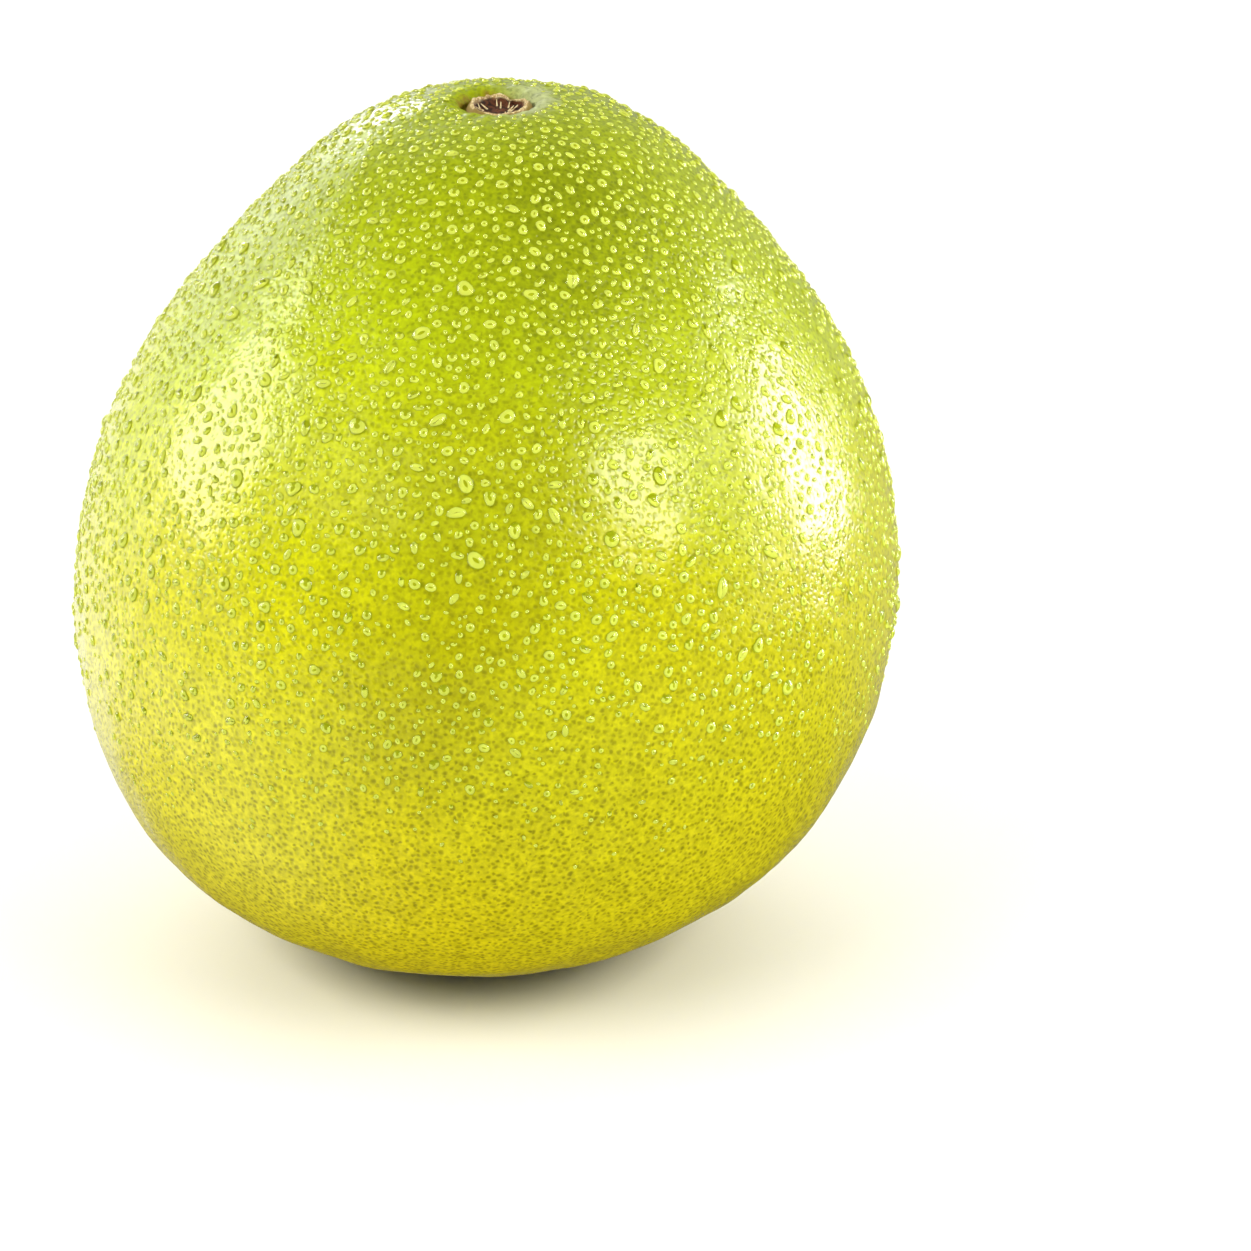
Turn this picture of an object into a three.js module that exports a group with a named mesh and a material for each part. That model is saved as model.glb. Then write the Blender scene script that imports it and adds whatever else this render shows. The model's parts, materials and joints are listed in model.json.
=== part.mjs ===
// A whole pomelo. It stands on the small flat spot at its blossom end, and the dried stem
// button sits in the dimple of its crown.
//
// Millimetres, +Z up. The origin lies on the standing surface, under the middle of the fruit.

import * as THREE from "three";

// The fruit.
const BELLY_RADIUS = 77;
const BELLY_HEIGHT = 66;
const FLAT_SPOT_RADIUS = 22;
const LIP_RADIUS = 10.5;
const LIP_HEIGHT = 161.8;
const SOCKET_RADIUS = 7;
const SOCKET_FLOOR_HEIGHT = 159;

// The stem button.
const BUTTON_RADIUS = 5.9;
const BUTTON_THICKNESS = 2;
const BUTTON_CUP_DEPTH = 1.3;
const BUTTON_CLEARANCE = 0.3;

// How the fruit grew away from a true round.
const LEAN = 0.0316;
const CROWN_NOD = THREE.MathUtils.degToRad(3.5);
const NOD_START_HEIGHT = 100;
const NOD_FULL_HEIGHT = 155;

// How finely the surfaces are divided.
const FRUIT_SEGMENTS = 60;
const BUTTON_SEGMENTS = 40;
const STEPS_PER_SPAN = 3;

// Low swellings around the fruit: how many, how far they stand out at the belly, and where.
const FRUIT_LOBES = [
  { count: 2, swell: 0.7, phase: 0 },
  { count: 3, swell: 0.35, phase: 0 },
  { count: 5, swell: 0.2, phase: 0 },
];

// The same around the button, whose rim follows the five lobes of the calyx.
const BUTTON_LOBES = [
  { count: 5, swell: 0.26, phase: 0.7 },
  { count: 3, swell: 0.15, phase: 2.1 },
];

// Radius and height of the rind, from the rim of the flat spot, over the belly and the lip
// of the crown, to the foot of the socket.
function fruitOutline() {
  return [
    [FLAT_SPOT_RADIUS, 0],
    [42.9, 8],
    [61.5, 22],
    [72.6, 42],
    [BELLY_RADIUS, BELLY_HEIGHT],
    [74.3, 90],
    [66.2, 112],
    [52.1, 132],
    [36.1, 149],
    [26, 157],
    [17.5, 160.2],
    [LIP_RADIUS, LIP_HEIGHT],
    [SOCKET_RADIUS + 1.2, LIP_HEIGHT - 0.6],
    [SOCKET_RADIUS, SOCKET_FLOOR_HEIGHT],
  ];
}

// Radius and height of the button, from the edge of its underside, over the rim, to the
// floor of its cup.
function buttonOutline() {
  const cupFloor = BUTTON_THICKNESS - BUTTON_CUP_DEPTH;
  return [
    [BUTTON_RADIUS - 1.1, 0],
    [BUTTON_RADIUS - 0.2, BUTTON_THICKNESS * 0.35],
    [BUTTON_RADIUS, BUTTON_THICKNESS * 0.75],
    [BUTTON_RADIUS - 0.7, BUTTON_THICKNESS],
    [BUTTON_RADIUS * 0.68, BUTTON_THICKNESS * 0.7],
    [BUTTON_RADIUS * 0.35, cupFloor],
  ];
}

// Turns an outline into a closed solid of revolution about Z, smooth between its points
// and flat at both ends.
function revolve(outline, segments) {
  const points = outline.map(([radius, height]) => new THREE.Vector3(radius, height, 0));
  const curve = new THREE.CatmullRomCurve3(points);
  const rows = curve
    .getPoints((points.length - 1) * STEPS_PER_SPAN)
    .map((point) => new THREE.Vector2(point.x, point.y));
  const first = new THREE.Vector2(0, rows[0].y);
  const last = new THREE.Vector2(0, rows[rows.length - 1].y);
  const geometry = new THREE.LatheGeometry([first, ...rows, last], segments);
  geometry.rotateX(Math.PI / 2);
  return geometry;
}

// How far a set of lobes stands out of the round, seen at one azimuth.
function lobeSwell(lobes, azimuth) {
  return lobes.reduce(
    (sum, lobe) => sum + lobe.swell * Math.sin(lobe.count * azimuth + lobe.phase),
    0,
  );
}

// Moves every point of a geometry.
function reshape(geometry, move) {
  const position = geometry.attributes.position;
  const point = new THREE.Vector3();
  for (let index = 0; index < position.count; index += 1) {
    point.fromBufferAttribute(position, index);
    move(point);
    position.setXYZ(index, point.x, point.y, point.z);
  }
  geometry.computeVertexNormals();
  return geometry;
}

// Leans the fruit to +X and nods its crown towards -Y.
function tilt(point) {
  const nod = THREE.MathUtils.smoothstep(point.z, NOD_START_HEIGHT, NOD_FULL_HEIGHT);
  point.x += LEAN * (point.z - BELLY_HEIGHT);
  point.z += Math.tan(CROWN_NOD) * point.y * nod;
  return point;
}

// Swells the fruit by its lobes, most at the belly and not at all at the socket.
function growFruit(point) {
  const radius = Math.hypot(point.x, point.y);
  const fullness = THREE.MathUtils.smoothstep(radius, SOCKET_RADIUS, BELLY_RADIUS);
  const swell = fullness * lobeSwell(FRUIT_LOBES, Math.atan2(point.y, point.x));
  const scale = radius > 0 ? 1 + swell / radius : 1;
  point.x *= scale;
  point.y *= scale;
  return tilt(point);
}

// Waves the button's rim in and out, and up and down with it.
function growButton(point) {
  const radius = Math.hypot(point.x, point.y);
  const swell = lobeSwell(BUTTON_LOBES, Math.atan2(point.y, point.x));
  const height = point.z / BUTTON_THICKNESS;
  const scale = 1 + (swell * height) / BUTTON_RADIUS;
  point.x *= scale;
  point.y *= scale;
  point.z += 0.6 * swell * height * (radius / BUTTON_RADIUS);
  return point;
}

function rindMaterial() {
  return new THREE.MeshStandardMaterial({ color: "#b9c51c", roughness: 0.4, metalness: 0 });
}

function calyxMaterial() {
  return new THREE.MeshStandardMaterial({ color: "#a5835a", roughness: 0.9, metalness: 0 });
}

function fruit() {
  const geometry = reshape(revolve(fruitOutline(), FRUIT_SEGMENTS), growFruit);
  const mesh = new THREE.Mesh(geometry, rindMaterial());
  mesh.name = "fruit";
  return mesh;
}

function stemButton() {
  const geometry = reshape(revolve(buttonOutline(), BUTTON_SEGMENTS), growButton);
  const mesh = new THREE.Mesh(geometry, calyxMaterial());
  mesh.name = "stem_button";
  const seat = new THREE.Vector3(0, 0, SOCKET_FLOOR_HEIGHT + BUTTON_CLEARANCE);
  mesh.position.copy(tilt(seat));
  mesh.rotation.x = CROWN_NOD;
  return mesh;
}

// Puts both pieces together, with the fruit's box centred over the origin.
function pomelo() {
  const rind = fruit();
  const group = new THREE.Group();
  group.add(rind, stemButton());
  const middle = new THREE.Box3().setFromObject(rind).getCenter(new THREE.Vector3());
  group.position.set(-middle.x, -middle.y, 0);
  group.name = "pomelo";
  return group;
}

export default pomelo();
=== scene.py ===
"""A whole pomelo with water beads on its rind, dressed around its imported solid.

The rind, the dried stem button and the water beads are made here, in metres, in the frame of
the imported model: the fruit stands on its flat spot at the origin, +Z is up, and the crown
nods to -Y.
"""

import json
import logging
import math
from collections.abc import Iterator
from contextlib import contextmanager
from dataclasses import dataclass, field
from enum import Enum
from itertools import product

import bmesh
import bpy
import numpy as np
from mathutils import Matrix, Vector, noise

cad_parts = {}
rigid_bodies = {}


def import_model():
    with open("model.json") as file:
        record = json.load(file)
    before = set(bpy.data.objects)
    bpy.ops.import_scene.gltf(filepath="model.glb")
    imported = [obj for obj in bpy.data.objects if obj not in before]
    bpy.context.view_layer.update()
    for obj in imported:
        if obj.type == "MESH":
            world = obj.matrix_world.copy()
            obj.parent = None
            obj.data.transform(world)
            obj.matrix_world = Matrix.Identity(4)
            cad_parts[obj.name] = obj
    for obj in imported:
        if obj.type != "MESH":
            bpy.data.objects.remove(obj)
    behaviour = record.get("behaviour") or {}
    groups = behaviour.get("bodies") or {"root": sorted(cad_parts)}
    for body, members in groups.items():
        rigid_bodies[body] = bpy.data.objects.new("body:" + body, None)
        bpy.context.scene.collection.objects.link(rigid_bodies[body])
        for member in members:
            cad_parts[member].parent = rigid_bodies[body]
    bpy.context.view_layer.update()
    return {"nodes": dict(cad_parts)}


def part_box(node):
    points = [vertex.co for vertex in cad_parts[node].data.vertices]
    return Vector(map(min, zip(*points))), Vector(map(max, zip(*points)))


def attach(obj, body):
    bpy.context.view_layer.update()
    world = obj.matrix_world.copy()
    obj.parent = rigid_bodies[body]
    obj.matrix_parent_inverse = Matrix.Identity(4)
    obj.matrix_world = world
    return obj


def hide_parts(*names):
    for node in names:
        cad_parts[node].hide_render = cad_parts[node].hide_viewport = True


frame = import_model()

MM = 0.001
BODY = "root"
PEEL_MAP = "peel"
WARM = (1.0, 0.95, 0.82)

Colour = tuple[float, float, float, float]
Span = tuple[float, float]
Socket = bpy.types.NodeSocket
Sockets = bpy.types.bpy_prop_collection
Material = bpy.types.Material
Piece = bpy.types.Object

log = logging.getLogger("pomelo")


# Small helpers for modelling by hand.


def select_only(piece: Piece) -> None:
    """Selects one object, makes it active and deselects the rest."""
    deselect_all()
    piece.select_set(True)
    bpy.context.view_layer.objects.active = piece


def deselect_all() -> None:
    """Leaves nothing selected, before a primitive is added."""
    for other in bpy.context.scene.objects:
        other.select_set(False)
    bpy.context.view_layer.objects.active = None


def link(thing: Piece) -> None:
    """Adds an object to the scene."""
    bpy.context.scene.collection.objects.link(thing)


@contextmanager
def editing(piece: Piece) -> Iterator[None]:
    """Holds a piece in edit mode, with all of it selected at the start.

    Args:
        piece: The mesh object to edit.
    """
    select_only(piece)
    bpy.ops.object.mode_set(mode="EDIT")
    bpy.ops.mesh.select_all(action="SELECT")
    yield
    bpy.ops.object.mode_set(mode="OBJECT")


def subdivide(piece: Piece, levels: int) -> None:
    """Smooths a piece by subdivision.

    Args:
        piece: The mesh object.
        levels: How many times its faces are split.
    """
    smoother = piece.modifiers.new("smooth", "SUBSURF")
    smoother.levels = levels
    smoother.render_levels = levels
    select_only(piece)
    bpy.ops.object.modifier_apply(modifier=smoother.name)


def place(piece: Piece, matrix: Matrix) -> None:
    """Moves a piece's mesh by a matrix and leaves its object at the origin."""
    piece.data.transform(matrix @ piece.matrix_world)
    piece.matrix_world = Matrix.Identity(4)


def read(items: bpy.types.bpy_prop_collection, name: str, width: int, kind: type) -> np.ndarray:
    """Reads a value of each of a mesh's items.

    Args:
        items: The mesh's points, faces or corners.
        name: The value's name.
        width: How many numbers one value has.
        kind: What the numbers are.

    Returns:
        One row for each item.
    """
    flat = np.empty(len(items) * width, dtype=kind)
    items.foreach_get(name, flat)
    return flat.reshape(-1, width)


def vertex_array(mesh: bpy.types.Mesh) -> np.ndarray:
    """Gives a mesh's points as rows of x, y and z."""
    return read(mesh.vertices, "co", 3, np.float64)


def normal_array(mesh: bpy.types.Mesh) -> np.ndarray:
    """Gives a mesh's smooth normals as rows of x, y and z."""
    return read(mesh.vertex_normals, "vector", 3, np.float64)


def set_vertices(mesh: bpy.types.Mesh, points: np.ndarray) -> None:
    """Writes a mesh's points back from rows of x, y and z."""
    mesh.vertices.foreach_set("co", points.ravel())
    mesh.update()


def smooth_step(low: float, high: float, value: np.ndarray) -> np.ndarray:
    """Rises smoothly from 0 at low to 1 at high."""
    share = np.clip((value - low) / (high - low), 0.0, 1.0)
    return share * share * (3.0 - 2.0 * share)


# Finishes.


class NodeGraph:
    """Adds and joins the nodes of one material or world."""

    def __init__(self, owner: Material | bpy.types.World) -> None:
        """Starts with an empty graph on the owner."""
        owner.use_nodes = True
        self.tree = owner.node_tree
        self.tree.nodes.clear()

    def add(self, kind: str, inputs: dict | None = None, **settings: object) -> bpy.types.Node:
        """Adds a node.

        Args:
            kind: The node's type name.
            inputs: Values or sockets for the node's inputs, by name or number.
            settings: The node's own settings.

        Returns:
            The new node.
        """
        node = self.tree.nodes.new(kind)
        for name, value in settings.items():
            setattr(node, name, value)
        for name, value in (inputs or {}).items():
            self.feed(node.inputs[name], value)
        return node

    def feed(self, socket: Socket, value: object) -> None:
        """Links a socket to another, or sets its value."""
        if isinstance(value, Socket):
            self.tree.links.new(value, socket)
        else:
            socket.default_value = value

    def math(self, operation: str, *values: object) -> Socket:
        """Adds a Math node and gives its result."""
        node = self.add("ShaderNodeMath", dict(enumerate(values)), operation=operation)
        return node.outputs[0]

    def times(self, value: Socket, factor: Socket) -> Socket:
        """Multiplies two values."""
        return self.math("MULTIPLY", value, factor)

    def scaled(self, value: Socket, factor: object, start: object) -> Socket:
        """Scales a value and adds it to a start."""
        return self.math("MULTIPLY_ADD", value, factor, start)

    def ramp(self, value: Socket, low: float, high: float) -> Socket:
        """Rises smoothly from 0 to 1 as a value goes from low to high."""
        inputs = {"Value": value, "From Min": low, "From Max": high}
        node = self.add("ShaderNodeMapRange", inputs, interpolation_type="SMOOTHSTEP")
        return node.outputs[0]

    def noise(self, where: Socket, size: float, detail: float = 2.0, rough: float = 0.5) -> Socket:
        """Adds a noise pattern.

        Args:
            where: The coordinates, in metres.
            size: The size of its blotches, in metres.
            detail: How many finer layers it has.
            rough: How strong the finer layers are.

        Returns:
            The socket of its value, around 0.5.
        """
        inputs = {"Vector": where, "Scale": 1.0 / size, "Detail": detail, "Roughness": rough}
        return self.add("ShaderNodeTexNoise", inputs).outputs[0]

    def sides(self, where: Socket) -> Sockets:
        """Splits coordinates into x, y and z."""
        return self.add("ShaderNodeSeparateXYZ", {0: where}).outputs

    def adjust(self, tint: Socket, value: float, saturation: float = 1.0) -> Socket:
        """Changes how bright and how strong a colour is."""
        inputs = {"Saturation": saturation, "Value": value, "Color": tint}
        return self.add("ShaderNodeHueSaturation", inputs).outputs[0]

    def blend(self, factor: object, first: object, second: object) -> Socket:
        """Mixes two colours."""
        inputs = {0: factor, 6: first, 7: second}
        return self.add("ShaderNodeMix", inputs, data_type="RGBA").outputs[2]

    def pick(self, factor: object, first: object, second: object) -> Socket:
        """Mixes two numbers."""
        return self.add("ShaderNodeMix", {0: factor, 2: first, 3: second}).outputs[0]

    def output(self, surface: Socket) -> None:
        """Sends a shader to the material's output."""
        self.add("ShaderNodeOutputMaterial", {"Surface": surface})

    def principled(self, inputs: dict, relief: dict | None = None) -> Socket:
        """Adds the main shader.

        Args:
            inputs: Values or sockets for its inputs.
            relief: Those of its bump, if it has one.

        Returns:
            The shader's socket.
        """
        stuff = self.add("ShaderNodeBsdfPrincipled", inputs)
        if relief:
            self.feed(stuff.inputs["Normal"], self.add("ShaderNodeBump", relief).outputs[0])
        return stuff.outputs[0]


def colour(red: float, green: float, blue: float) -> Colour:
    """Gives an opaque linear colour."""
    return (red, green, blue, 1.0)


@dataclass(frozen=True)
class RindFinish:
    """Waxy yellow-green peel with fine dark oil glands.

    A pair of lengths says where a change starts and where it is complete.
    """

    base_hue: Colour = colour(0.70, 0.60, 0.001)
    layers: tuple[tuple[Span, Colour], ...] = (
        ((0.0 * MM, 80.0 * MM), colour(0.61, 0.60, 0.001)),
        ((75.0 * MM, 135.0 * MM), colour(0.50, 0.60, 0.001)),
        ((115.0 * MM, 175.0 * MM), colour(0.28, 0.35, 0.001)),
    )
    crease_hue: Colour = colour(0.20, 0.13, 0.012)
    gland_spacing: float = 1.28 * MM
    gland_radius: float = 0.49 * MM
    gland_disorder: float = 0.82
    gland_pull: float = 0.9 * MM
    gland_pull_size: float = 1.3 * MM
    gland_value: float = 0.51
    gland_fade: Span = (45.0 * MM, 95.0 * MM)
    # A band of painted shade down the front, between the lamps on either side.
    front_shade_value: float = 0.79
    front_shade_lean: float = 0.33
    front_shade_foot: float = -32.0 * MM
    front_shade_edge: Span = (44.0 * MM, 20.0 * MM)
    front_shade_facing: Span = (-8.0 * MM, -32.0 * MM)
    front_shade_rise: Span = (45.0 * MM, 75.0 * MM)
    mottle_value: float = 0.84
    mottles: tuple[tuple[float, float, Span], ...] = (
        (2.4 * MM, 2.0, (0.35, 0.65)),
        (0.8 * MM, 1.0, (0.36, 0.64)),
    )
    pale_reach: Span = (15.5 * MM, 11.0 * MM)
    brown_reach: Span = (11.3 * MM, 9.0 * MM)
    corky_reach: Span = (13.5 * MM, 11.5 * MM)
    refraction: float = 1.4
    roughness: float = 0.21
    shine: float = 0.5
    shine_rise: Span = (4.0 * MM, 42.0 * MM)
    relief_depth: float = 0.06 * MM

    def material(self, scar: Vector) -> Material:
        """Builds the peel's material.

        Args:
            scar: The middle of the stem scar, which the collar surrounds.

        Returns:
            The material.
        """
        material = bpy.data.materials.new("pomelo_rind")
        graph = NodeGraph(material)
        where = graph.add("ShaderNodeTexCoord").outputs["Object"]
        height = graph.sides(where)[2]
        glands, pits = self.glands(graph)
        tint = self.ground(graph, where)
        faint = graph.scaled(graph.ramp(height, *self.gland_fade), -0.35, 1.0)
        glands = graph.times(glands, faint)
        tint = graph.blend(glands, tint, graph.adjust(tint, self.gland_value))
        tint, corky = self.collar(graph, where, scar, tint)
        uneven = graph.noise(where, 3.0 * MM, detail=1.0)
        roughness = graph.scaled(uneven, 0.12, self.roughness - 0.06)
        roughness = graph.scaled(corky, 0.35, roughness)
        shine = graph.scaled(corky, -0.42, self.shine)
        shine = graph.times(shine, graph.ramp(height, *self.shine_rise))
        inputs = {"Base Color": tint, "Roughness": roughness, "IOR": self.refraction}
        inputs["Specular IOR Level"] = shine
        relief = self.relief(graph, where, pits, corky)
        bump = {"Height": relief, "Strength": 1.0, "Distance": self.relief_depth}
        graph.output(graph.principled(inputs, bump))
        return material

    def glands(self, graph: NodeGraph) -> tuple[Socket, Socket]:
        """Spreads the oil glands, each a little out of round.

        Args:
            graph: The peel's nodes.

        Returns:
            How dark a gland is, and how deep its pit.
        """
        where = graph.add("ShaderNodeUVMap", uv_map=PEEL_MAP).outputs[0]
        waver = {"Vector": where, "Scale": 1.0 / self.gland_pull_size, "Detail": 1.0}
        pull = graph.add("ShaderNodeTexNoise", waver).outputs["Color"]
        pull = graph.add("ShaderNodeVectorMath", {0: pull, 3: self.gland_pull}, operation="SCALE")
        where = graph.add("ShaderNodeVectorMath", {0: where, 1: pull.outputs[0]}).outputs[0]
        spread = {"Scale": 1.0 / self.gland_spacing, "Randomness": self.gland_disorder}
        spread["Vector"] = where
        cells = graph.add("ShaderNodeTexVoronoi", spread, voronoi_dimensions="2D").outputs
        chance = graph.add("ShaderNodeSeparateColor", {0: cells["Color"]}).outputs
        radius = self.gland_radius / self.gland_spacing
        reach = graph.scaled(chance[0], radius * 0.5, radius * 0.75)
        share = graph.math("DIVIDE", cells["Distance"], reach)
        pit = graph.ramp(share, 1.2, 0.2)
        strength = graph.scaled(chance[1], 0.5, 0.6)
        return graph.times(pit, strength), pit

    def ground(self, graph: NodeGraph, where: Socket) -> Socket:
        """Colours the peel from its yellow foot to its green crown, with a band of painted shade
        down the front.

        Args:
            graph: The peel's nodes.
            where: The object's coordinates.

        Returns:
            The colour between the glands.
        """
        sides = graph.sides(where)
        height = sides[2]
        drift = graph.noise(where, 45.0 * MM, detail=1.0)
        level = graph.scaled(drift, 60.0 * MM, height)
        level = graph.math("SUBTRACT", level, 30.0 * MM)
        tint = self.base_hue
        for rise, hue in self.layers:
            tint = graph.blend(graph.ramp(level, *rise), tint, hue)
        # Paints shade in a band down the front, where the side lamps reach least.
        middle = graph.scaled(height, self.front_shade_lean, self.front_shade_foot)
        aside = graph.math("ABSOLUTE", graph.math("SUBTRACT", sides[0], middle))
        aside = graph.scaled(drift, 30.0 * MM, aside)
        front_shade = graph.ramp(aside, *self.front_shade_edge)
        front_shade = graph.times(front_shade, graph.ramp(sides[1], *self.front_shade_facing))
        front_shade = graph.times(front_shade, graph.ramp(height, *self.front_shade_rise))
        tint = graph.blend(front_shade, tint, graph.adjust(tint, self.front_shade_value))
        for size, detail, edge in self.mottles:
            mottle = graph.ramp(graph.noise(where, size, detail=detail, rough=0.6), *edge)
            tint = graph.blend(mottle, tint, graph.adjust(tint, self.mottle_value))
        return tint

    def collar(
        self, graph: NodeGraph, where: Socket, scar: Vector, tint: Socket
    ) -> tuple[Socket, Socket]:
        """Browns the dimple of the stem scar and pales the peel on the scar's right.

        Args:
            graph: The peel's nodes.
            where: The object's coordinates.
            scar: The middle of the stem scar.
            tint: The peel's colour elsewhere.

        Returns:
            The peel's colour, and how corky it is.
        """
        away = graph.add("ShaderNodeVectorMath", {0: where, 1: scar}, operation="DISTANCE")
        wander = graph.noise(where, 2.4 * MM, detail=3.0, rough=0.65)
        distance = graph.scaled(wander, 6.0 * MM, away.outputs["Value"])
        right = graph.ramp(graph.sides(where)[0], scar.x - 3.0 * MM, scar.x + 7.0 * MM)
        pale = graph.times(graph.ramp(distance, *self.pale_reach), right)
        tint = graph.blend(pale, tint, graph.adjust(tint, 1.25, saturation=0.55))
        left = graph.scaled(right, 2.5 * MM, distance)
        brown = graph.ramp(left, *self.brown_reach)
        corky = graph.ramp(distance, *self.corky_reach)
        return graph.blend(brown, tint, self.crease_hue), corky

    def relief(self, graph: NodeGraph, where: Socket, pits: Socket, corky: Socket) -> Socket:
        """Sinks the glands, roughens the wax between them and wrinkles the collar.

        Args:
            graph: The peel's nodes.
            where: The object's coordinates.
            pits: How deep the glands are.
            corky: How corky the peel is.

        Returns:
            The height of the relief, as a share of its depth.
        """
        wax = graph.noise(where, 0.9 * MM, detail=1.0)
        swell = graph.noise(where, 4.0 * MM, detail=0.0)
        height = graph.times(pits, -0.8)
        height = graph.scaled(wax, 0.5, height)
        wrinkles = graph.noise(where, 0.7 * MM, detail=1.0)
        wrinkles = graph.times(wrinkles, corky)
        height = graph.scaled(wrinkles, 3.0, height)
        return graph.scaled(swell, 1.6, height)


@dataclass(frozen=True)
class WaterFinish:
    """Clear still water, and the wet peel under it with a painted caustic and painted shade."""

    refraction: float = 1.333
    roughness: float = 0.12
    shine: float = 0.25
    # The peel under a bead is painted light: a bright painted caustic, and painted shade.
    painted_light_hue: Colour = colour(0.65, 0.725, 0.09)
    painted_shade_hue: Colour = colour(0.34, 0.40, 0.002)

    def materials(self) -> list[Material]:
        """Builds the materials of a bead.

        Returns:
            The water's, then those of the lit and the shaded peel under it.
        """
        water = {
            "Base Color": colour(1.0, 1.0, 1.0),
            "Roughness": self.roughness,
            "IOR": self.refraction,
            "Specular IOR Level": self.shine,
            "Transmission Weight": 1.0,
        }
        wet = {"Roughness": 0.9, "Specular IOR Level": 0.1}
        return [
            self.plain("clear_water", water),
            # The peel under the water: painted caustic, then painted shade.
            self.plain("wet_peel_painted_light", {"Base Color": self.painted_light_hue, **wet}),
            self.plain("wet_peel_painted_shade", {"Base Color": self.painted_shade_hue, **wet}),
        ]

    def plain(self, name: str, inputs: dict) -> Material:
        """Builds a material that is the same all over.

        Args:
            name: The material's name.
            inputs: The values of its shader's inputs.

        Returns:
            The material.
        """
        material = bpy.data.materials.new(name)
        graph = NodeGraph(material)
        graph.output(graph.principled(inputs))
        return material


@dataclass(frozen=True)
class CalyxFinish:
    """Dry fibrous calyx, tan on its rim, with painted shade dark in its hollow."""

    rim_hue: Colour = colour(0.86, 0.75, 0.44)
    fibre_hue: Colour = colour(0.42, 0.28, 0.10)
    # Painted shade for the hollow, in patches down to near black.
    hollow_shade_hue: Colour = colour(0.12, 0.036, 0.010)
    deepest_shade_hue: Colour = colour(0.022, 0.008, 0.003)
    skirt_hue: Colour = colour(0.26, 0.18, 0.04)
    refraction: float = 1.4
    roughness: float = 0.85

    def material(self, rim: Vector, radius: float, depth: float) -> Material:
        """Builds the calyx's material.

        Args:
            rim: The middle of the rim.
            radius: The rim's radius, in metres.
            depth: How far the hollow's floor lies below the rim, in metres.

        Returns:
            The material.
        """
        material = bpy.data.materials.new("dry_calyx")
        graph = NodeGraph(material)
        where = graph.add("ShaderNodeTexCoord").outputs["Object"]
        height = graph.sides(where)[2]
        wander = graph.noise(where, 1.2 * MM, detail=3.0)
        level = graph.scaled(wander, 0.8 * MM, height)
        lift = graph.ramp(level, rim.z + 1.6 * MM - depth, rim.z + 0.45 * MM)
        away = graph.add("ShaderNodeVectorMath", {0: where, 1: rim}, operation="DISTANCE")
        away = away.outputs["Value"]
        outside = graph.ramp(away, radius * 0.80, radius * 0.88)
        lift = graph.math("MAXIMUM", lift, outside)
        fibre = graph.ramp(graph.noise(where, 0.35 * MM, detail=4.0, rough=0.7), 0.36, 0.58)
        tint = graph.blend(fibre, self.rim_hue, self.fibre_hue)
        # Painted shade in the hollow below the rim, darkest in patches.
        deep_shade_patches = graph.ramp(graph.noise(where, 0.9 * MM, detail=3.0, rough=0.6), 0.42, 0.6)
        hollow = graph.blend(deep_shade_patches, self.hollow_shade_hue, self.deepest_shade_hue)
        tint = graph.blend(lift, hollow, tint)
        skirt = graph.ramp(away, radius * 0.92, radius * 0.98)
        tint = graph.blend(skirt, tint, self.skirt_hue)
        inputs = {"Base Color": tint, "Roughness": self.roughness, "IOR": self.refraction}
        bump = {"Height": fibre, "Strength": 0.7, "Distance": 0.1 * MM}
        graph.output(graph.principled(inputs, bump))
        return material

    def pith(self) -> Material:
        """Builds the material of the stalk's torn, pale wood.

        Returns:
            The material.
        """
        material = bpy.data.materials.new("torn_pith")
        graph = NodeGraph(material)
        where = graph.add("ShaderNodeTexCoord").outputs["Object"]
        fibre = graph.ramp(graph.noise(where, 0.5 * MM, detail=3.0, rough=0.7), 0.45, 0.65)
        tint = graph.blend(fibre, self.rim_hue, self.fibre_hue)
        inputs = {"Base Color": tint, "Roughness": self.roughness, "IOR": self.refraction}
        graph.output(graph.principled(inputs))
        return material


# The fruit's own pieces.


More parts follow.
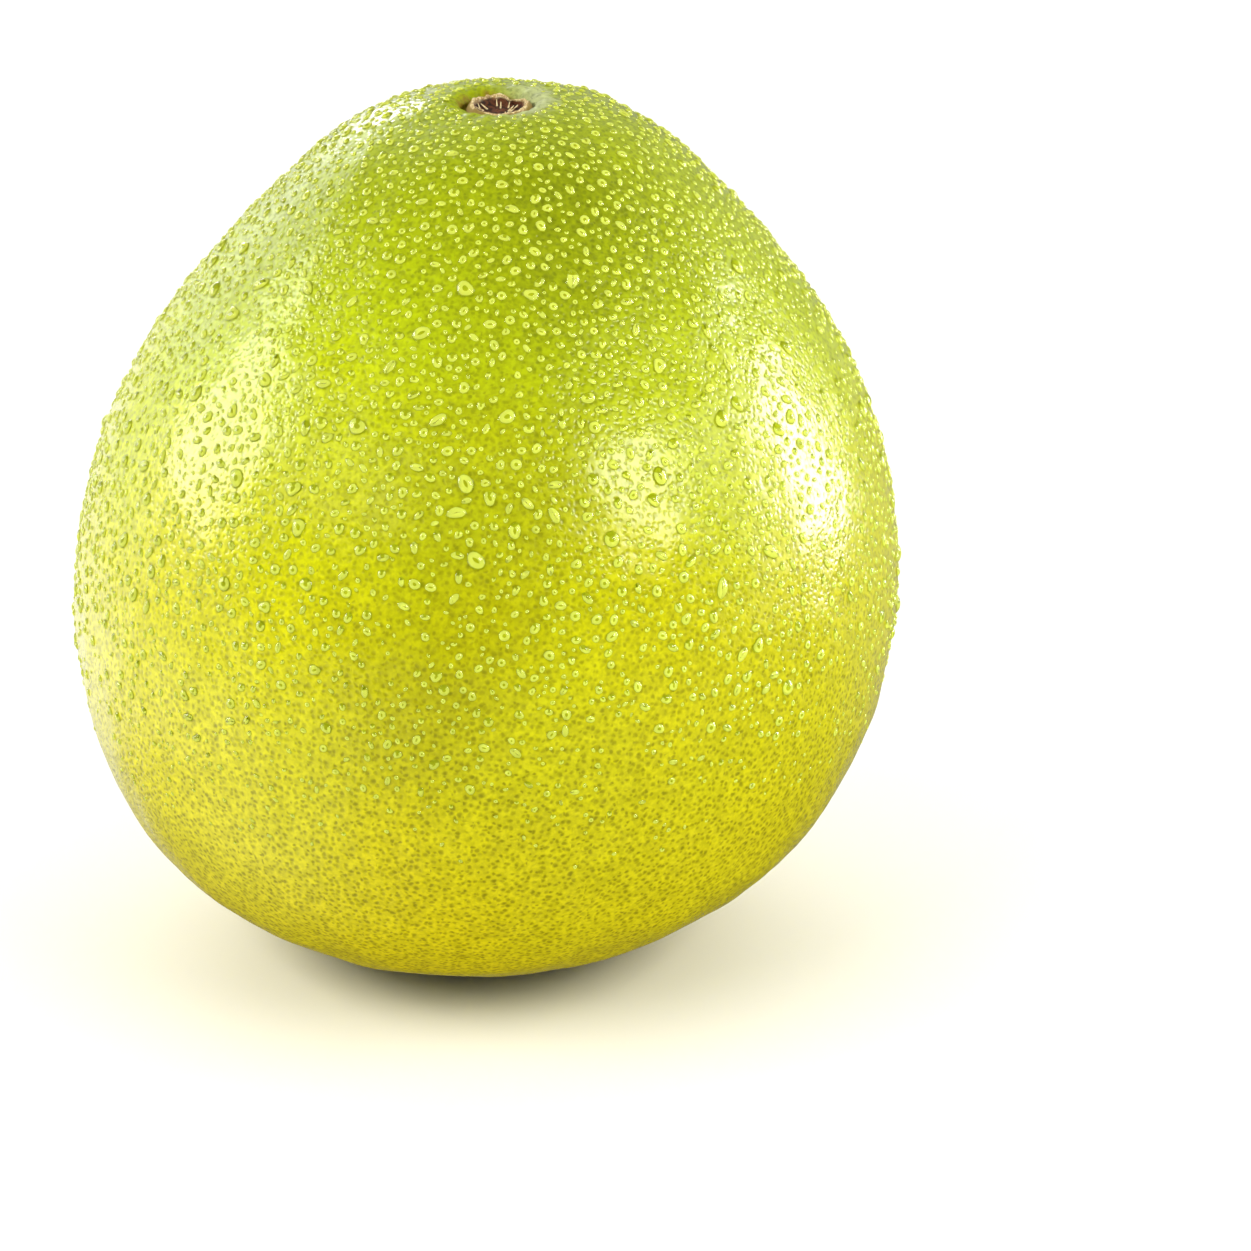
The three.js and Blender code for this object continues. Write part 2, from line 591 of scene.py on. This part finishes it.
@dataclass
class Rind:
    """The fruit's skin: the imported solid, smoothed and gently uneven."""

    finish: RindFinish = field(default_factory=RindFinish)
    refinement: int = 2
    swelling: float = 0.35 * MM
    swelling_size: float = 11.0 * MM
    foot_clearance: float = 3.0 * MM
    charts: int = 48
    chart_spacing: float = 0.4
    chart_seed: int = 5
    folds: int = 17
    fold_depth: float = 0.12 * MM
    fold_outside: Span = (15.0 * MM, 9.0 * MM)
    fold_inside: Span = (5.0 * MM, 7.5 * MM)
    lip_outside: Span = (11.0 * MM, 7.2 * MM)
    lip_inside: Span = (6.3 * MM, 6.9 * MM)
    lip_lift: float = 0.5 * MM
    lean_outside: Span = (10.0 * MM, 7.0 * MM)
    lip_lean: float = 1.0 * MM

    def build(self, scar: Vector) -> Piece:
        """Makes and dresses the skin.

        Args:
            scar: The middle of the stem scar.

        Returns:
            The skin.
        """
        skin = self.smoothed_copy()
        self.swell(skin)
        self.fold_collar(skin, scar)
        self.lay_peel_map(skin)
        skin.data.materials.clear()
        skin.data.materials.append(self.finish.material(scar))
        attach(skin, BODY)
        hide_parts("fruit")
        return skin

    def smoothed_copy(self) -> Piece:
        """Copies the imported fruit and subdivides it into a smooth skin.

        Returns:
            The bare skin.
        """
        mesh = frame["nodes"]["fruit"].data.copy()
        skin = bpy.data.objects.new("rind", mesh)
        link(skin)
        with editing(skin):
            bpy.ops.mesh.remove_doubles(threshold=0.001 * MM)
            bpy.ops.mesh.tris_convert_to_quads(face_threshold=math.pi, shape_threshold=math.pi)
        subdivide(skin, self.refinement)
        skin.data.shade_smooth()
        return skin

    def swell(self, skin: Piece) -> None:
        """Raises low uneven swellings all over but on the foot.

        Args:
            skin: The skin to shape.
        """
        points = vertex_array(skin.data)
        normals = normal_array(skin.data)
        free = smooth_step(0.2 * MM, self.foot_clearance, points[:, 2])
        lift = [noise.fractal(Vector(p) / self.swelling_size, 1.0, 2.0, 2) for p in points]
        rise = np.array(lift) * free * self.swelling
        set_vertices(skin.data, points + normals * rise[:, None])

    def fold_collar(self, skin: Piece, scar: Vector) -> None:
        """Draws the peel up to the stem scar in radial folds, and leans its lip over the scar.

        Args:
            skin: The skin to shape.
            scar: The middle of the stem scar.
        """
        points = vertex_array(skin.data)
        spread = points - np.array(scar)
        away = np.hypot(spread[:, 0], spread[:, 1])
        azimuth = np.arctan2(spread[:, 1], spread[:, 0])
        waver = 1.2 * np.sin(3.0 * azimuth + 0.7) + 0.9 * np.sin(5.0 * azimuth + 2.0)
        fold = np.sin(self.folds * azimuth + waver)
        high = smooth_step(scar.z - 6.0 * MM, scar.z - 3.0 * MM, points[:, 2])
        near = smooth_step(*self.fold_outside, away) * smooth_step(*self.fold_inside, away)
        points[:, 2] += fold * near * high * self.fold_depth
        inside = smooth_step(*self.lip_inside, away)
        open_side = 0.7 + 0.3 * smooth_step(-9.0 * MM, -2.0 * MM, spread[:, 0])
        above = smooth_step(scar.z - 2.3 * MM, scar.z - 1.2 * MM, points[:, 2])
        lip = smooth_step(*self.lip_outside, away) * inside
        points[:, 2] += lip * open_side * above * self.lip_lift
        leaning = smooth_step(*self.lean_outside, away) * inside
        lean = leaning * open_side * above * self.lip_lean / np.maximum(away, MM)
        points[:, :2] -= spread[:, :2] * lean[:, None]
        set_vertices(skin.data, points)

    def lay_peel_map(self, skin: Piece) -> None:
        """Lays the skin flat in metres, in patches that each face one way.

        Each face goes to the patch that it faces most nearly, with a little chance at the
        borders, and is seen square on, so that a pattern keeps its true size all over.

        Args:
            skin: The skin to lay flat.
        """
        mesh = skin.data
        rng = np.random.default_rng(self.chart_seed)
        turn = math.pi * (3.0 - math.sqrt(5.0))
        steps = np.arange(self.charts)
        z = 1.0 - (2.0 * steps + 1.0) / self.charts
        ring = np.sqrt(1.0 - z * z)
        facing = np.stack([ring * np.cos(turn * steps), ring * np.sin(turn * steps), z], axis=1)
        side = np.cross(facing, [0.31, 0.52, 0.79])
        side /= np.linalg.norm(side, axis=1)[:, None]
        upward = np.cross(facing, side)
        match = read(mesh.polygons, "normal", 3, np.float64) @ facing.T
        match += rng.normal(0.0, 0.004, match.shape)
        chart = match.argmax(axis=1)
        lengths = read(mesh.polygons, "loop_total", 1, np.int32)[:, 0]
        corners = read(mesh.loops, "vertex_index", 1, np.int32)[:, 0]
        points = vertex_array(mesh)[corners]
        chart = np.repeat(chart, lengths)
        across = (points * side[chart]).sum(axis=1) + self.chart_spacing * chart
        along = (points * upward[chart]).sum(axis=1)
        layer = mesh.uv_layers.new(name=PEEL_MAP)
        layer.data.foreach_set("uv", np.stack([across, along], axis=1).astype(np.float32).ravel())


@dataclass
class StemButton:
    """The dried calyx with the torn end of the stalk in its hollow."""

    finish: CalyxFinish = field(default_factory=CalyxFinish)
    tilt: float = math.radians(3.5)
    radius: float = 5.6 * MM
    thickness: float = 2.1 * MM
    hollow_depth: float = 1.7 * MM
    notch_at: float = 1.0
    notch_width: float = 0.42
    notch_depth: float = 0.36
    front_drop: float = 0.45 * MM
    splinters: int = 14
    splinter_length: float = 1.7 * MM
    splinter_seed: int = 9

    def seat(self) -> Matrix:
        """Gives the place of the middle of the button's underside.

        Returns:
            The matrix that takes the button from the origin to its seat.
        """
        low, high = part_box("stem_button")
        middle = (low + high) / 2.0
        place_at = Vector((middle.x, middle.y, low.z + math.sin(self.tilt) * self.radius))
        return Matrix.Translation(place_at) @ Matrix.Rotation(self.tilt, 4, "X")

    def scar(self) -> Vector:
        """Gives the middle of the scar, level with its rim."""
        return self.seat() @ Vector((0.0, 0.0, self.thickness))

    def build(self) -> Piece:
        """Makes and dresses the button.

        Returns:
            The button.
        """
        button = self.calyx()
        wood = self.finish.material(self.scar(), self.radius, self.hollow_depth)
        button.data.materials.append(wood)
        fibres = self.fibres()
        pith = self.finish.pith()
        select_only(button)
        for fibre in fibres:
            fibre.data.materials.append(pith)
            fibre.select_set(True)
        bpy.ops.object.join()
        button.name = "stem_button_dried"
        place(button, self.seat())
        button.data.shade_smooth()
        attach(button, BODY)
        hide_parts("stem_button")
        return button

    def calyx(self) -> Piece:
        """Models the lobed disc with its torn rim and its hollow.

        Returns:
            The disc, at the origin.
        """
        deselect_all()
        foot_reach = 0.8
        bpy.ops.mesh.primitive_circle_add(
            vertices=48, radius=self.radius * foot_reach, fill_type="NGON"
        )
        calyx = bpy.context.active_object
        flat = 1.0 - self.hollow_depth / self.thickness
        outside = [(1.06, 0.15), (1.12, 0.35), (1.02, 0.6), (0.95, 0.85), (0.91, 0.99), (0.88, 1.01)]
        inside = [(0.85, 0.92), (0.80, 0.55), (0.72, flat * 1.3), (0.4, flat), (0.15, flat)]
        with editing(calyx):
            reach, height = foot_reach, 0.0
            for share, level in outside + inside:
                rise = (level - height) * self.thickness
                bpy.ops.mesh.extrude_region_move(TRANSFORM_OT_translate={"value": (0.0, 0.0, rise)})
                step = share / reach
                bpy.ops.transform.resize(value=(step, step, 1.0))
                reach, height = share, level
            bpy.ops.mesh.poke()
            bpy.ops.mesh.select_all(action="SELECT")
            bpy.ops.mesh.normals_make_consistent(inside=False)
        subdivide(calyx, 1)
        self.tear(calyx)
        return calyx

    def tear(self, calyx: Piece) -> None:
        """Makes the rim lobed, notched and ragged and the hollow fibrous.

        Args:
            calyx: The smooth disc.
        """
        points = vertex_array(calyx.data)
        azimuth = np.arctan2(points[:, 1], points[:, 0])
        away = np.hypot(points[:, 0], points[:, 1]) / self.radius
        rise = points[:, 2] / self.thickness
        lobes = 0.05 * np.sin(5.0 * azimuth + 0.7) + 0.03 * np.sin(3.0 * azimuth + 2.1)
        ragged = np.array([noise.noise(Vector(p) / (0.9 * MM)) for p in points])
        fine = np.array([noise.noise(Vector(p) / (0.35 * MM) + Vector((7, 3, 1))) for p in points])
        upper = np.clip(rise, 0.0, 1.0)
        notch = np.exp(-(((azimuth - self.notch_at) / self.notch_width) ** 2))
        inward = notch * smooth_step(0.3, 0.8, away) * self.notch_depth
        points[:, :2] *= (1.0 + upper * (lobes + 0.035 * ragged - inward))[:, None]
        rim = smooth_step(0.55, 0.85, away) * upper
        points[:, 2] += rim * self.thickness * (1.3 * lobes + 0.15 * ragged + 0.07 * fine)
        front = smooth_step(0.1, 0.9, -points[:, 1] / self.radius)
        points[:, 2] -= rim * front * self.front_drop
        floor_part = (1.0 - smooth_step(0.5, 0.8, away)) * smooth_step(0.05, 0.15, rise)
        points[:, 2] += floor_part * (0.16 * ragged + 0.07 * fine) * MM
        set_vertices(calyx.data, points)

    def fibres(self) -> list[Piece]:
        """Models one splinter and copies it around the hollow.

        Returns:
            The splinters, in their places in the button.
        """
        deselect_all()
        bpy.ops.mesh.primitive_cone_add(
            vertices=6, radius1=0.22 * MM, radius2=0.05 * MM, depth=self.splinter_length
        )
        first = bpy.context.active_object
        with editing(first):
            bpy.ops.mesh.subdivide(number_cuts=1)
        fibres = [first]
        for _ in range(self.splinters - 1):
            fibre = first.copy()
            fibre.data = first.data.copy()
            link(fibre)
            fibres.append(fibre)
        rng = np.random.default_rng(self.splinter_seed)
        stand = self.thickness - self.hollow_depth + 0.35 * MM
        for index, fibre in enumerate(fibres):
            azimuth = index * 2.4 + rng.uniform(-0.3, 0.3)
            away = rng.uniform(0.25, 0.72) * self.radius
            lean = Matrix.Rotation(rng.uniform(0.3, 1.1), 4, "Y")
            spin = Matrix.Rotation(azimuth, 4, "Z")
            place(fibre, spin @ Matrix.Translation(Vector((away, 0.0, stand))) @ lean)
        return fibres


class BeadOutline(Enum):
    """The outlines that a bead's foot can have: width, length and how much it waves."""

    ROUND = (1.0, 1.0, 0.0)
    WAVY = (1.0, 0.95, 0.09)
    OVAL = (0.86, 1.14, 0.04)
    LONG = (0.74, 1.3, 0.08)
    BEAN = (0.9, 1.1, 0.16)


class Look(Enum):
    """What a face of a bead is, with the number of its material.

    The underside is wet peel: a ring with a painted caustic, and the rest with painted shade.
    """

    WATER = 0
    LIT = 1
    SHADED = 2


@dataclass
class BeadShape:
    """One bead of unit radius, standing on z = 0 with its middle at the origin.

    The bead's edge is sunk in the peel. Inside it the underside is lifted just clear of the
    peel, where it has a ring with a painted caustic, and a slope and a middle with painted shade.
    """

    outline: BeadOutline
    segments: int
    rings: int
    cap_from: float = 0.45
    height: float = 0.45
    sunk: float = 0.09
    lifted: float = 0.05
    slope_width: float = 0.22
    ring_width: float = 0.47

    def build(self) -> None:
        """Models the bead and keeps its points, its faces and what each face is."""
        deselect_all()
        bpy.ops.mesh.primitive_uv_sphere_add(segments=self.segments, ring_count=self.rings)
        bead = bpy.context.active_object
        width, length, waves = self.outline.value
        with editing(bead):
            bpy.ops.mesh.bisect(
                plane_co=(0.0, 0.0, self.cap_from),
                plane_no=(0.0, 0.0, 1.0),
                use_fill=True,
                clear_inner=True,
            )
            bpy.ops.mesh.select_all(action="SELECT")
            bpy.ops.transform.translate(value=(0.0, 0.0, -self.cap_from))
            spread = 1.0 / math.sqrt(1.0 - self.cap_from**2)
            rise = (self.height + self.sunk) / (1.0 - self.cap_from)
            bpy.ops.transform.resize(
                value=(width * spread, length * spread, rise), center_override=(0.0, 0.0, 0.0)
            )
            bpy.ops.transform.translate(value=(0.0, 0.0, -self.sunk))
            bpy.ops.mesh.select_all(action="DESELECT")
            bpy.ops.mesh.select_mode(type="FACE")
            sketch = bmesh.from_edit_mesh(bead.data)
            for face in sketch.faces:
                face.select_set(face.normal.z < -0.9)
            bmesh.update_edit_mesh(bead.data)
            bpy.ops.mesh.inset(thickness=self.slope_width, depth=0.0)
            bpy.ops.transform.translate(value=(0.0, 0.0, self.sunk + self.lifted))
            bpy.ops.mesh.inset(thickness=self.ring_width, depth=0.0)
        points = vertex_array(bead.data)
        azimuth = np.arctan2(points[:, 1], points[:, 0])
        wave = np.sin(2.0 * azimuth + 0.6) + 0.7 * np.sin(3.0 * azimuth + 1.9)
        points[:, :2] *= (1.0 + waves * wave)[:, None]
        self.points = points
        self.faces = [tuple(face.vertices) for face in bead.data.polygons]
        self.kinds = [self.kind_of(face) for face in bead.data.polygons]
        self.bearings = [math.atan2(face.center.y, face.center.x) for face in bead.data.polygons]
        bpy.data.objects.remove(bead)

    def kind_of(self, face: bpy.types.MeshPolygon) -> Look:
        """Tells the ring, which takes the painted caustic, and the rest of the underside, which
        takes painted shade, from the open surface.

        Args:
            face: A face of the bead.

        Returns:
            What the face is.
        """
        if face.normal.z > -0.2:
            return Look.WATER
        # The ring takes the painted caustic; the slope and the middle take painted shade.
        ring = face.normal.z <= -0.99 and len(face.vertices) <= 4
        return Look.LIT if ring else Look.SHADED


@dataclass(frozen=True)
class BeadClass:
    """One size of bead: how many, their radii and how finely each is made.

    They stand between the lowest and the highest, as close as anywhere above full_from.
    """

    name: str
    count: int
    smallest: float
    largest: float
    segments: int
    rings: int
    lowest: float
    full_from: float
    highest: float


@dataclass
class Dew:
    """Water beads standing on the rind, as a fine spray leaves them."""

    finish: WaterFinish = field(default_factory=WaterFinish)
    classes: tuple[BeadClass, ...] = (
        BeadClass("beads_large", 150, 1.35 * MM, 1.95 * MM, 16, 10, 60 * MM, 110 * MM, 147 * MM),
        BeadClass("beads_medium_1", 1950, 0.9 * MM, 1.3 * MM, 10, 8, 55 * MM, 108 * MM, 160 * MM),
        BeadClass("beads_medium_2", 1900, 0.65 * MM, 0.95 * MM, 10, 5, 50 * MM, 105 * MM, 161 * MM),
        BeadClass("beads_crown", 1500, 0.55 * MM, 1.0 * MM, 10, 5, 105 * MM, 140 * MM, 164 * MM),
        BeadClass("beads_small", 2600, 0.42 * MM, 0.65 * MM, 8, 5, 40 * MM, 100 * MM, 170 * MM),
    )
    seed: int = 23
    gap: float = 0.12 * MM
    clear_of_stem: float = 9.5 * MM
    patch_size: float = 16.0 * MM
    cell: float = 4.2 * MM
    tries: int = 40
    small_bias: float = 1.6
    squash: Span = (0.85, 1.15)
    # How much of each bead's painted caustic ring escapes painted shade on its upper side, by
    # chance.
    top_shade_cut: Span = (0.5, 1.6)
    taken: dict[tuple[int, ...], list[tuple[Vector, float]]] = field(default_factory=dict)

    def build(self, skin: Piece, scar: Vector) -> list[Piece]:
        """Scatters the beads, the largest first.

        Args:
            skin: The finished rind.
            scar: The middle of the stem scar, which the beads keep clear of.

        Returns:
            One piece for each size of bead.
        """
        water = self.finish.materials()
        rng = np.random.default_rng(self.seed)
        return [self.scatter(kind, skin, scar, water, rng) for kind in self.classes]

    def wetness(self, kind: BeadClass, spot: Vector) -> float:
        """Says how readily a spot holds beads of one size.

        Args:
            kind: The size of bead.
            spot: The place on the rind.

        Returns:
            The chance that a bead stays there, from 0 to 1.
        """
        if spot.z > kind.highest:
            return 0.0
        rise = (spot.z - kind.lowest) / (kind.full_from - kind.lowest)
        patch = noise.fractal(spot / self.patch_size, 1.0, 2.0, 2)
        return min(max(rise, 0.0), 1.0) * min(max(0.7 + 0.8 * patch, 0.08), 1.0)

    def free(self, spot: Vector, radius: float) -> bool:
        """Says whether a bead fits on a spot, and takes the spot if it does.

        Args:
            spot: The place on the rind.
            radius: The bead's radius.

        Returns:
            Whether it fits.
        """
        home = tuple(int(math.floor(c / self.cell)) for c in spot)
        for step in product((-1, 0, 1), repeat=3):
            near = self.taken.get(tuple(h + s for h, s in zip(home, step)), ())
            for other, reach in near:
                if (other - spot).length < reach + radius + self.gap:
                    return False
        self.taken.setdefault(home, []).append((spot, radius))
        return True

    def scatter(
        self,
        kind: BeadClass,
        skin: Piece,
        scar: Vector,
        water: list[Material],
        rng: np.random.Generator,
    ) -> Piece:
        """Scatters the beads of one size and makes them one piece.

        Args:
            kind: The size of bead.
            skin: The finished rind.
            scar: The middle of the stem scar.
            water: The materials of a bead, in the order of Look.
            rng: The source of chance.

        Returns:
            The piece.
        """
        mesh = skin.data
        mesh.calc_loop_triangles()
        corners = read(mesh.loop_triangles, "vertices", 3, np.int32)
        points = vertex_array(mesh)
        normals = normal_array(mesh)
        a, b, c = (points[corners[:, i]] for i in range(3))
        area = np.linalg.norm(np.cross(b - a, c - a), axis=1)
        chance = np.cumsum(area) / area.sum()
        shapes = [BeadShape(outline, kind.segments, kind.rings) for outline in BeadOutline]
        for shape in shapes:
            shape.build()
        bodies: list[np.ndarray] = []
        faces: list[tuple[int, ...]] = []
        looks: list[int] = []
        first = 0
        for _ in range(kind.count * self.tries):
            if len(bodies) == kind.count:
                break
            triangle = corners[np.searchsorted(chance, rng.random())]
            u, v = rng.random(2)
            if u + v > 1.0:
                u, v = 1.0 - u, 1.0 - v
            weights = np.array([1.0 - u - v, u, v])
            spot = Vector(weights @ points[triangle])
            share = rng.random() ** self.small_bias
            radius = kind.smallest + (kind.largest - kind.smallest) * share
            shape = shapes[rng.integers(len(shapes))]
            turn = rng.uniform(0.0, 2.0 * math.pi)
            squash = rng.uniform(*self.squash)
            keep = rng.random()
            if keep > self.wetness(kind, spot):
                continue
            if (spot - scar).length < self.clear_of_stem:
                continue
            if not self.free(spot, radius):
                continue
            outward = Vector(weights @ normals[triangle]).normalized()
            stand = outward.to_track_quat("Z", "Y").to_matrix()
            spin = Matrix.Rotation(turn, 3, "Z")
            scale = Matrix.Diagonal((radius, radius, radius * squash))
            moved = shape.points @ np.array(stand @ spin @ scale).T + np.array(spot)
            bodies.append(moved)
            faces.extend(tuple(i + first for i in side) for side in shape.faces)
            # Paints shade on the upper side of the ring, where less light would gather.
            upward = stand.transposed() @ Vector((0.0, 0.0, 1.0))
            top = math.atan2(upward.y, upward.x) - turn
            cut = rng.uniform(*self.top_shade_cut)
            looks.extend(self.look(*face, top, cut) for face in zip(shape.kinds, shape.bearings))
            first += len(moved)
        return self.piece(kind.name, np.vstack(bodies), faces, looks, water)

    def look(self, kind: Look, bearing: float, top: float, cut: float) -> int:
        """Paints shade on the part of a bead's painted caustic ring that lies towards its upper
        side.

        Args:
            kind: What the face is.
            bearing: Where it lies around the bead's middle.
            top: Where the bead's upper side lies.
            cut: How much of the ring keeps its painted caustic there, from 1 for all to -1 for none.

        Returns:
            The number of its material.
        """
        if kind is Look.LIT and math.cos(bearing - top) >= cut:
            kind = Look.SHADED
        return kind.value

    def piece(
        self,
        name: str,
        points: np.ndarray,
        faces: list[tuple[int, ...]],
        looks: list[int],
        water: list[Material],
    ) -> Piece:
        """Makes one piece of many beads and dresses it.

        Args:
            name: The piece's name.
            points: The points of all the beads.
            faces: The points of each face, by number.
            looks: The material of each face, by number.
            water: The materials.

        Returns:
            The piece.
        """
        mesh = bpy.data.meshes.new(name)
        mesh.from_pydata(points.tolist(), [], faces)
        mesh.shade_smooth()
        for material in water:
            mesh.materials.append(material)
        mesh.polygons.foreach_set("material_index", looks)
        beads = bpy.data.objects.new(name, mesh)
        link(beads)
        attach(beads, BODY)
        return beads


# The studio.


@dataclass(frozen=True)
class Softbox:
    """A soft lamp that faces the fruit, in degrees rightwards and up from the front.

    It can be kept out of the shine (in_gloss), off the peel and the floor (in_fill) and off
    the peel under the beads (in_water).
    """

    name: str
    azimuth: float
    elevation: float
    distance: float
    width: float
    height: float
    radiance: float
    in_gloss: bool = True
    in_fill: bool = True
    in_water: bool = True
    tint: tuple[float, float, float] = (1.0, 1.0, 1.0)

    def hang(self, target: Vector) -> None:
        """Hangs the lamp.

        Args:
            target: What it faces.
        """
        turn, rise = math.radians(self.azimuth), math.radians(self.elevation)
        out = Vector(
            (math.sin(turn) * math.cos(rise), -math.cos(turn) * math.cos(rise), math.sin(rise))
        )
        lamp = bpy.data.lights.new(self.name, "AREA")
        lamp.shape = "RECTANGLE"
        lamp.color = self.tint
        lamp.size = self.width
        lamp.size_y = self.height
        lamp.energy = self.radiance * math.pi * self.width * self.height
        holder = bpy.data.objects.new(self.name, lamp)
        holder.location = target + out * self.distance
        holder.rotation_euler = out.to_track_quat("Z", "Y").to_euler()
        holder.visible_camera = False
        holder.visible_glossy = self.in_gloss
        holder.visible_diffuse = self.in_fill
        holder.visible_transmission = self.in_water
        link(holder)


@dataclass
class Studio:
    """A white floor and surround, soft lamps and the camera."""

    target: Vector = field(default_factory=lambda: Vector((25.95, 0.0, 60.87)) * MM)
    camera_distance: float = 976.6 * MM
    camera_elevation: float = math.radians(20.0)
    lens: float = 150.0
    lamp_target: Vector = field(default_factory=lambda: Vector((0.0, 0.0, 80.0 * MM)))
    floor_size: float = 8.0
    floor_value: float = 0.84
    floor_fade: Span = (0.8, 1.3)
    lamps: tuple[Softbox, ...] = (
        Softbox("left_window", -95.0, 24.0, 0.75, 0.42, 0.44, 10.5, in_fill=False, in_water=False),
        Softbox("left_wall", -95.0, 5.0, 0.80, 0.95, 1.10, 0.75, in_fill=False, in_water=False),
        Softbox("left_drops", -95.0, 24.0, 0.75, 0.42, 0.44, 6.0, in_gloss=False, in_fill=False),
        Softbox("right_window", 108.0, 11.0, 0.75, 0.30, 0.42, 19.0, in_fill=False, in_water=False),
        Softbox("right_wall", 90.0, 15.0, 0.80, 0.60, 0.60, 2.3, in_fill=False, in_water=False),
        Softbox("right_front", 50.0, 31.0, 0.75, 0.26, 0.34, 15.0, in_fill=False),
        Softbox("back_left", -162.0, 22.0, 0.75, 0.14, 0.12, 16.0, in_fill=False),
        Softbox("back_band", -146.0, 23.0, 0.75, 0.44, 0.28, 1.7, in_fill=False, in_water=False),
        Softbox("back_wash", 180.0, 38.0, 1.70, 2.4, 1.2, 0.7, in_gloss=False, in_water=False),
        Softbox("left_fill", -58.0, 36.0, 1.2, 1.3, 0.45, 6.9, in_gloss=False, tint=WARM),
        Softbox("right_fill", 66.0, 34.0, 1.2, 1.3, 0.45, 5.6, in_gloss=False, tint=WARM),
    )

    def build(self) -> None:
        """Sets up the whole studio, with few bounces and no light tree, to render faster."""
        self.floor()
        self.surround()
        for lamp in self.lamps:
            lamp.hang(self.lamp_target)
        self.camera()
        scene = bpy.context.scene
        scene.view_settings.view_transform = "Standard"
        scene.cycles.use_light_tree = False
        scene.cycles.max_bounces = 6
        scene.cycles.diffuse_bounces = 3
        scene.cycles.glossy_bounces = 2
        scene.cycles.transmission_bounces = 5

    def floor(self) -> None:
        """Lays the pale floor, which fades into the white room far from the fruit."""
        deselect_all()
        bpy.ops.mesh.primitive_plane_add(size=self.floor_size)
        ground = bpy.context.active_object
        ground.name = "floor"
        material = bpy.data.materials.new("pale_floor")
        graph = NodeGraph(material)
        grey = self.floor_value
        pale = graph.principled({"Base Color": colour(grey, grey, grey), "Roughness": 0.9})
        where = graph.add("ShaderNodeTexCoord").outputs["Object"]
        away = graph.add("ShaderNodeVectorMath", {0: where}, operation="LENGTH").outputs["Value"]
        clear = graph.add("ShaderNodeBsdfTransparent").outputs[0]
        fade = {0: graph.ramp(away, *self.floor_fade), 1: pale, 2: clear}
        graph.output(graph.add("ShaderNodeMixShader", fade).outputs[0])
        ground.data.materials.append(material)
        ground.visible_glossy = False

    def surround(self) -> None:
        """Lights the scene from a white room, at a level for each kind of ray."""
        world = bpy.data.worlds.new("white_room")
        world.cycles.sampling_method = "NONE"
        bpy.context.scene.world = world
        graph = NodeGraph(world)
        rays = graph.add("ShaderNodeLightPath").outputs
        sides = graph.sides(graph.add("ShaderNodeTexCoord").outputs["Generated"])
        seen = 1.05
        through = graph.scaled(graph.ramp(sides[1], -0.1, 0.5), -0.75, 1.3)
        level = graph.pick(rays["Is Transmission Ray"], seen, through)
        level = graph.pick(rays["Is Diffuse Ray"], level, self.fill_level(graph, sides))
        level = graph.pick(rays["Is Glossy Ray"], level, self.mirrored_level(graph, sides))
        inputs = {"Color": colour(1.0, 1.0, 1.0), "Strength": level}
        light = graph.add("ShaderNodeBackground", inputs).outputs[0]
        graph.add("ShaderNodeOutputWorld", {"Surface": light})

    def fill_level(self, graph: NodeGraph, sides: Sockets) -> Socket:
        """Dims the soft light towards the viewer and overhead, and most of all low in front.

        Args:
            graph: The world's nodes.
            sides: The direction's x, y and z.

        Returns:
            How bright the room is for soft light.
        """
        room = graph.scaled(graph.ramp(sides[1], -0.6, 0.6), 0.55, 0.7)
        overhead = graph.scaled(graph.ramp(sides[2], 0.4, 1.0), -0.25, 1.0)
        room = graph.times(room, overhead)
        front = graph.ramp(sides[1], 0.3, -0.4)
        low = graph.times(graph.ramp(sides[2], 0.35, 0.1), front)
        return graph.times(room, graph.scaled(low, -0.92, 1.0))

    def mirrored_level(self, graph: NodeGraph, sides: Sockets) -> Socket:
        """Dims the mirrored light in front, above and straight below, but not low on the left.

        Args:
            graph: The world's nodes.
            sides: The direction's x, y and z.

        Returns:
            How bright the room is in the shine.
        """
        overhead = graph.scaled(graph.ramp(sides[2], 0.3, 0.9), -0.6, 1.0)
        room = graph.times(graph.ramp(sides[1], 0.1, 0.7), overhead)
        room = graph.times(room, graph.ramp(sides[2], -0.6, -0.3))
        left = graph.scaled(graph.ramp(sides[0], 0.1, -0.45), 1.1, 0.35)
        room = graph.scaled(room, left, 0.05)
        far_left = graph.ramp(sides[0], -0.1, -0.9)
        low_left = graph.times(graph.ramp(sides[2], 0.1, -0.4), far_left)
        nearer = graph.scaled(graph.ramp(sides[1], 0.5, -0.1), 1.0, 0.4)
        low_left = graph.times(low_left, nearer)
        return graph.math("ADD", low_left, room)

    def camera(self) -> None:
        """Stands the camera before the fruit, looking slightly down."""
        rise = self.camera_elevation
        back = Vector((0.0, -math.cos(rise), math.sin(rise)))
        lens = bpy.data.cameras.new("camera")
        lens.lens = self.lens
        camera = bpy.data.objects.new("camera", lens)
        camera.location = self.target + back * self.camera_distance
        camera.rotation_euler = back.to_track_quat("Z", "Y").to_euler()
        link(camera)
        bpy.context.scene.camera = camera


def report(piece: Piece) -> None:
    """Logs a piece's size."""
    piece.data.calc_loop_triangles()
    log.info("%s: %d triangles", piece.name, len(piece.data.loop_triangles))


def main() -> None:
    """Builds the pomelo and its studio."""
    logging.basicConfig(level=logging.INFO, format="%(name)s: %(message)s")
    Studio().build()
    button = StemButton()
    report(button.build())
    skin = Rind().build(button.scar())
    report(skin)
    for beads in Dew().build(skin, button.scar()):
        report(beads)


if __name__ == "__main__":
    main()
